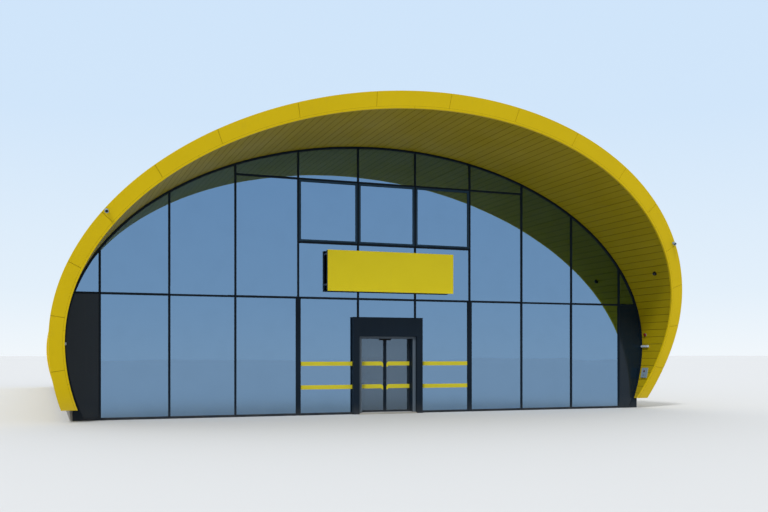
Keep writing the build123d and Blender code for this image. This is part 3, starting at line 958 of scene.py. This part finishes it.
def layBand(ends, heights, glassFront, meeting=None):
    (left, right), (low, high) = ends, heights
    front = glassFront - bands["standOff"]
    band = block("band", (left, front, low), (right, front + bands["thickness"], high))
    if meeting is not None:
        # The end by the meeting stile is rounded over and drops a little below the band
        width = bands["tailWidth"]
        root = meeting + math.copysign(width, left + right - 2 * meeting)
        roundCorner(band, meeting, high, bands["cornerRadius"])
        cutAcross(band, (root, 0, 0), across)
        extrudeFaces(
            band, (0, 0, -bands["tailDrop"]),
            lambda face: looksDown(face) and abs(face.center.x - meeting) < width,
        )
        roundCorner(band, root, low, bands["innerRadius"])
    return band

def handBands(pieces, name, body):
    strip = joined(pieces, name)
    paint(strip, "filmYellow")
    hand(strip, body, "fascia_yellow")

def layBands():
    near, far = bands["besideDoor"]
    gap = bands["edgeGap"]
    fixed = []
    for heights in bands["heights"]:
        fixed.append(layBand((-far + gap, -near - gap), heights, 0.0))
        fixed.append(layBand((near + gap, far - gap), heights, 0.0))
    handBands(fixed, "facadeBands", "building")
    for side, end in meetingEnd.items():
        low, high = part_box(f"door_glass_{side}")
        ends = (low.x + gap, high.x - gap)
        moving = [layBand(ends, heights, low.y, ends[end]) for heights in bands["heights"]]
        handBands(moving, f"leafBands{side.capitalize()}", f"leaf_{side}")

layBands()
print("safety bands laid")

# Blank sign board: a yellow face tray on a slightly smaller black box
sign = {"faceDepth": 0.02, "step": 0.006, "lap": 0.001, "edge": 0.003}

def makeSign():
    board = mergedCopy("sign_board")
    low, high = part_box("sign_board")
    size, step = high - low, sign["step"]
    seam = low.y + sign["faceDepth"]
    for depth in (seam, seam + step):
        cutAcross(board, (0, depth, 0), inDepth)
    smaller = (1 - 2 * step / size.x, 1, 1 - 2 * step / size.z)
    resizeSome(board, smaller, (low + high) / 2, lambda vert: vert.co.y > seam + step / 2)
    softEdges(board, sign["edge"])
    paint(board, "signSheet", "blackCoat")
    tintFaces(board, lambda face: face.center.y > seam + sign["lap"])
    standFor(board, "sign_board")

makeSign()
print("sign made")

# Fittings. A round body is given by its radius, ends and softened edge, and a sunk field by its margin,
# the width of its wall and its depth.

def turned(name, finishName, shape, base=0.0):
    # A round body on its own axis, with a softened rim
    low, high = base + shape["low"], base + shape["high"]
    bpy.ops.mesh.primitive_cylinder_add(
        vertices=making["roundSides"], radius=shape["radius"], depth=high - low,
        location=(0, 0, (low + high) / 2),
    )
    body = bpy.context.object
    body.name = name
    applyPlace(body)
    softEdges(body, shape["edge"], shape.get("segments", making["roundSegments"]))
    paint(body, finishName)
    return body

def setOnOval(pieces, nodeName):
    # Joins pieces made about the origin and sets them on the vault in place of a node
    middle = middleOf(nodeName)
    whole = joined(pieces, pieceNameOf(nodeName))
    whole.data.transform(ovalFrame(angleOf(middle), y=middle.y))
    standFor(whole, nodeName)

# Twin wall lights: a pale body with an opal lens in its underside
wallLight = {"slim": 0.7, "edge": 0.006, "lens": (0.012, 0.002, 0.004)}

def makeWallLights():
    lights = mergedCopy("wall_lights")
    resizeSome(lights, (1, 1, wallLight["slim"]), (0, 0, middleOf("wall_lights").z))
    softEdges(lights, wallLight["edge"])
    lens = sinkFaces(lights, looksDown, *wallLight["lens"])
    smoothFaces(lights)
    paint(lights, "palePlastic", "opalLens")
    tintFaces(lights, lambda face: face.index in lens)
    standFor(lights, "wall_lights")

makeWallLights()

# Call point: a grey box with a red button over a lock
callPoint = {
    "height": 0.340, "width": 0.300, "depth": 0.036, "sunk": 0.006, "edge": 0.0015,
    "panel": (0.018, 0.002, 0.003),
    "collar": {"radius": 0.036, "low": -0.006, "high": 0.004, "edge": 0.002},
    "button": {"radius": 0.026, "low": 0.0, "high": 0.022, "edge": 0.009, "segments": 6},
    "lock": {"radius": 0.014, "low": -0.006, "high": 0.005, "edge": 0.002},
    "keyhole": (0.004, 0.001, 0.003),
    "buttonUp": 0.055, "lockDown": 0.080,
}

def makeCallPoint():
    half, wide, top = callPoint["height"] / 2, callPoint["width"] / 2, callPoint["depth"]
    box = block("callBox", (-half, -wide, -callPoint["sunk"]), (half, wide, top))
    sinkFaces(box, looksUp, *callPoint["panel"])
    softEdges(box, callPoint["edge"])
    paint(box, "greyPlastic")
    collar = turned("callCollar", "blackPlastic", callPoint["collar"], top)
    button = turned("callButton", "redLens", callPoint["button"], top)
    lock = turned("callLock", "blackPlastic", callPoint["lock"], top)
    sinkFaces(lock, looksUp, *callPoint["keyhole"])
    buttonUp, lockUp = callPoint["buttonUp"], -callPoint["lockDown"]
    for piece, shift in ((collar, buttonUp), (button, buttonUp), (lock, lockUp)):
        piece.data.transform(Matrix.Translation((shift, 0, 0)))
    setOnOval([box, collar, button, lock], "call_point")

makeCallPoint()

# Alarm beacon: a red lens on a low grey collar
beacon = {
    "collar": {"radius": 0.055, "low": -0.006, "high": 0.010, "edge": 0.003},
    "lens": {"radius": 0.052, "low": 0.0, "high": 0.058, "edge": 0.022, "segments": 8},
}

def makeBeacon():
    collar = turned("beaconCollar", "greyPlastic", beacon["collar"])
    lens = turned("beaconLens", "redLens", beacon["lens"])
    setOnOval([collar, lens], "alarm_beacon")

makeBeacon()

# Dome camera: a gloss bubble under a matt ring
dome = {
    "ring": {"radius": 0.070, "low": -0.006, "high": 0.030, "edge": 0.008},
    "lip": (0.006, 0.001, 0.004),
    "bubbleRadius": 0.060, "bubbleSides": 40, "bubbleRings": 24, "bubbleSunk": 0.003,
}

def makeDome():
    ring = turned("domeRing", "blackPlastic", dome["ring"])
    sinkFaces(ring, looksUp, *dome["lip"])
    bpy.ops.mesh.primitive_uv_sphere_add(
        segments=dome["bubbleSides"], ring_count=dome["bubbleRings"], radius=dome["bubbleRadius"]
    )
    bubble = bpy.context.object
    cutAcross(bubble, (0, 0, 0), up, "inner")
    moveSome(bubble, (0, 0, dome["ring"]["high"] - dome["bubbleSunk"]))
    smoothFaces(bubble)
    paint(bubble, "blackGloss")
    setOnOval([ring, bubble], "dome_camera")

makeDome()

# Round cameras on the raking face: a pale barrel, a hood ring and a dark lens at the bottom of its mouth
rimCamera = {
    "length": 0.110,
    "barrel": {"radius": 0.044, "low": 0.001, "high": 0.085, "edge": 0.004},
    "hood": {"radius": 0.048, "low": 0.060, "high": 0.104, "edge": 0.003},
    "mouth": (0.010, 0.001, 0.014),
    "lens": {"radius": 0.030, "low": -0.004, "high": 0.009, "edge": 0.006, "segments": 6},
}

def makeRimCameras():
    barrel = turned("cameraBarrel", "greyPlastic", rimCamera["barrel"])
    hood = turned("cameraHood", "greyPlastic", rimCamera["hood"])
    mouth = sinkFaces(hood, looksUp, *rimCamera["mouth"])
    paint(hood, "greyPlastic", "blackGloss")
    tintFaces(hood, lambda face: face.index in mouth)
    window = rimCamera["hood"]["high"] - rimCamera["mouth"][2]
    lens = turned("cameraLens", "blackGloss", rimCamera["lens"], window)
    model = joined([barrel, hood, lens], "cameraModel")
    level = Vector((1, rake["turn"], 0)).normalized()
    turn = Matrix((level, rakeNormal.cross(level), rakeNormal)).transposed().to_4x4()
    pair = []
    for side in (-1, 1):
        foot = middleOf("rim_cameras", side) - rakeNormal * rimCamera["length"] / 2
        pair.append(placedCopy(model, Matrix.Translation(foot) @ turn))
    discard(model)
    standFor(joined(pair, "rimCameras"), "rim_cameras")

makeRimCameras()
print("fittings made")

# Ribbed plate on the threshold
threshold = {
    "half": 0.84, "front": -0.02, "back": 0.14, "height": 0.002, "ribs": 9, "ribHeight": 0.002,
    "edge": 0.0005,
}

def makeThreshold():
    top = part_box("threshold_ramp")[1].z
    half, front, back = threshold["half"], threshold["front"], threshold["back"]
    plate = block("threshold", (-half, front, top), (half, back, top + threshold["height"]))
    strips = 2 * threshold["ribs"] + 1
    step = (back - front) / strips
    for number in range(1, strips):
        cutAcross(plate, (0, front + number * step, 0), inDepth)
    extrudeFaces(
        plate, (0, 0, threshold["ribHeight"]),
        lambda face: looksUp(face) and int((face.center.y - front) / step) % 2 == 1,
    )
    handTrim(plate, threshold["edge"], "anodised", "grey_aluminium")

makeThreshold()

# Floor track under the leaves, with a shallow groove
track = {"half": 1.66, "width": 0.050, "height": 0.001, "groove": (0.015, 0.0005, 0.0007), "edge": 0.0003}

def makeTrack():
    low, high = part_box("door_leaf_left")
    middle, top = (low.y + high.y) / 2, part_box("floor_slab")[1].z
    half, wide = track["half"], track["width"] / 2
    rail = block("floorTrack", (-half, middle - wide, top), (half, middle + wide, top + track["height"]))
    sinkFaces(rail, looksUp, *track["groove"])
    handTrim(rail, track["edge"], "anodised", "grey_aluminium")

makeTrack()

# Drip over the door header
drip = {"reach": 0.006, "height": 0.004, "lip": 0.014, "back": -0.045, "edge": 0.001}

def makeDrip():
    low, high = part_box("door_header")
    reach, top = drip["reach"], high.z + drip["height"]
    plate = block(
        "headerDrip", (low.x - reach, low.y - reach, high.z), (high.x + reach, drip["back"], top)
    )
    cutAcross(plate, (0, low.y, 0), inDepth)
    extrudeFaces(plate, (0, 0, -drip["lip"]), lambda face: looksDown(face) and face.center.y < low.y)
    handTrim(plate, drip["edge"], "blackCoat", "frame_black")

makeDrip()

# A lock on the meeting stile of each leaf
leafLock = {
    "height": 1.02,
    "body": {"radius": 0.011, "low": -0.004, "high": 0.003, "edge": 0.001},
    "keyhole": (0.004, 0.0005, 0.002),
}

def makeLocks():
    for side, end in meetingEnd.items():
        glass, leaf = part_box(f"door_glass_{side}"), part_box(f"door_leaf_{side}")
        lock = turned("lock", "greyCoat", leafLock["body"])
        sinkFaces(lock, looksUp, *leafLock["keyhole"])
        place = Matrix.Translation(((glass[end].x + leaf[end].x) / 2, leaf[0].y, leafLock["height"]))
        lock.data.transform(place @ Matrix.Rotation(math.pi / 2, 4, "X"))
        hand(joined([lock], f"leafLock{side.capitalize()}"), f"leaf_{side}", "grey_aluminium")

makeLocks()
print("entrance detailed")

# Hinges over each ventilation sash, and a drip bar along its foot
sash = {
    "count": 3,
    "hinge": {"radius": 0.009, "low": -0.04, "high": 0.04, "edge": 0.002},
    "hingeInset": 0.30, "hingeProud": 0.004, "hingeDown": 0.006,
    "barUp": 0.010, "barHeight": 0.022, "barReach": 0.016, "barBack": 0.001, "barSlope": 0.012,
    "barEdge": 0.0015,
}

def detailSashes():
    low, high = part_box("vent_sashes")
    front, foot = low.y, low.z + sash["barUp"]
    pitch = (high.x - low.x) / sash["count"]
    half = pitch / 2 - (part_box("vent_glass")[0].x - low.x)
    hinge = turned("hingeModel", "sashCoat", sash["hinge"])
    hinge.data.transform(Matrix.Rotation(math.pi / 2, 4, "Y"))
    pieces = []
    for number in range(sash["count"]):
        middle = low.x + (number + 0.5) * pitch
        for end in (-1, 1):
            place = middle + end * (half - sash["hingeInset"])
            spot = (place, front - sash["hingeProud"], high.z - sash["hingeDown"])
            pieces.append(placedCopy(hinge, Matrix.Translation(spot)))
        bar = block(
            "bar",
            (middle - half, front - sash["barReach"], foot),
            (middle + half, front + sash["barBack"], foot + sash["barHeight"]),
        )
        moveSome(
            bar, (0, 0, -sash["barSlope"]),
            lambda vert: vert.co.y < front and vert.co.z > foot + sash["barHeight"] / 2,
        )
        softEdges(bar, sash["barEdge"], 1)
        paint(bar, "sashCoat")
        pieces.append(bar)
    discard(hinge)
    hand(joined(pieces, "sashTrims"), "building", "frame_black")

detailSashes()
print("sashes detailed")

# Stage, light and camera. The floor and backdrop are seen in one tone and light the building in another.
floor = {
    "seen": (0.60, 0.605, 0.61, 1), "lit": (0.42, 0.42, 0.42, 1), "size": 3000, "height": -0.002,
    "rough": 0.9, "specular": 0.1,
}
light = {
    "world": 1.0, "worldColour": (0.94, 0.97, 1.0, 1), "sun": 2.0, "sunSize": 8, "sunTurn": (48, 0, -38),
    "sunHeight": 30,
}
# Colours of the backdrop from the horizon up, at the sine of the height
backdrop = (
    (0.00, (0.88, 0.93, 0.97)),
    (0.07, (0.77, 0.87, 0.965)),
    (0.25, (0.64, 0.79, 0.96)),
    (1.00, (0.55, 0.73, 0.95)),
)
camera = {
    "place": (-9.978, -26.338, 1.819), "turn": (90, 0, -20.57), "lens": 42.35, "sensor": 36,
    "shift": 0.1289, "clipEnd": 4000,
}

def inRadians(turn):
    return [math.radians(part) for part in turn]

def seenByEye(tree):
    # One for camera, mirror and see-through rays
    path = addNode(tree, "LightPath")
    both = calc(tree, "MAXIMUM", path["Is Camera Ray"], path["Is Glossy Ray"])
    return calc(tree, "MAXIMUM", both, path["Is Transmission Ray"])

def layFloor():
    bpy.ops.mesh.primitive_plane_add(size=floor["size"], location=(0, 0, floor["height"]))
    ground = bpy.context.object
    ground.name = "studioFloor"
    applyPlace(ground)
    material, tree, shader = startMaterial("studioFloor")
    feedAll(tree, shader, {
        "Base Color": mixColour(tree, seenByEye(tree), floor["lit"], floor["seen"]),
        "Roughness": floor["rough"],
        "Specular IOR Level": floor["specular"],
    })
    ground.data.materials.append(material)

def lightStudio():
    world = bpy.data.worlds.new("studio")
    bpy.context.scene.world = world
    world.use_nodes = True
    tree = world.node_tree
    grade = tree.nodes.new("ShaderNodeValToRGB")
    steps = grade.color_ramp.elements
    while len(steps) < len(backdrop):
        steps.new(0.5)
    for step, (place, colour) in zip(steps, backdrop):
        step.position = place
        step.color = (*colour, 1)
    height = upPart(tree, addNode(tree, "TexCoord")["Generated"])
    graded = feedAll(tree, grade, {"Fac": height})["Color"]
    seen = feedAll(tree, tree.nodes["Background"], {"Color": graded, "Strength": 1.0})
    lit = addNode(tree, "Background", Color=light["worldColour"], Strength=light["world"])
    mix = tree.nodes.new("ShaderNodeMixShader")
    for socket, value in zip(mix.inputs, (seenByEye(tree), lit[0], seen[0])):
        feed(tree, socket, value)
    feed(tree, tree.nodes["World Output"].inputs["Surface"], mix.outputs[0])
    bpy.ops.object.light_add(
        type="SUN", location=(0, 0, light["sunHeight"]), rotation=inRadians(light["sunTurn"])
    )
    sun = bpy.context.object
    sun.name = "softKey"
    sun.data.energy = light["sun"]
    sun.data.angle = math.radians(light["sunSize"])

def placeCamera():
    bpy.ops.object.camera_add(location=camera["place"])
    eye = bpy.context.object
    eye.name = "photoCamera"
    eye.rotation_euler = inRadians(camera["turn"])
    eye.data.lens = camera["lens"]
    eye.data.sensor_width = camera["sensor"]
    eye.data.shift_y = camera["shift"]
    eye.data.clip_end = camera["clipEnd"]
    bpy.context.scene.camera = eye

layFloor()
lightStudio()
placeCamera()
bpy.context.scene.view_settings.view_transform = "Standard"
print("stage set")
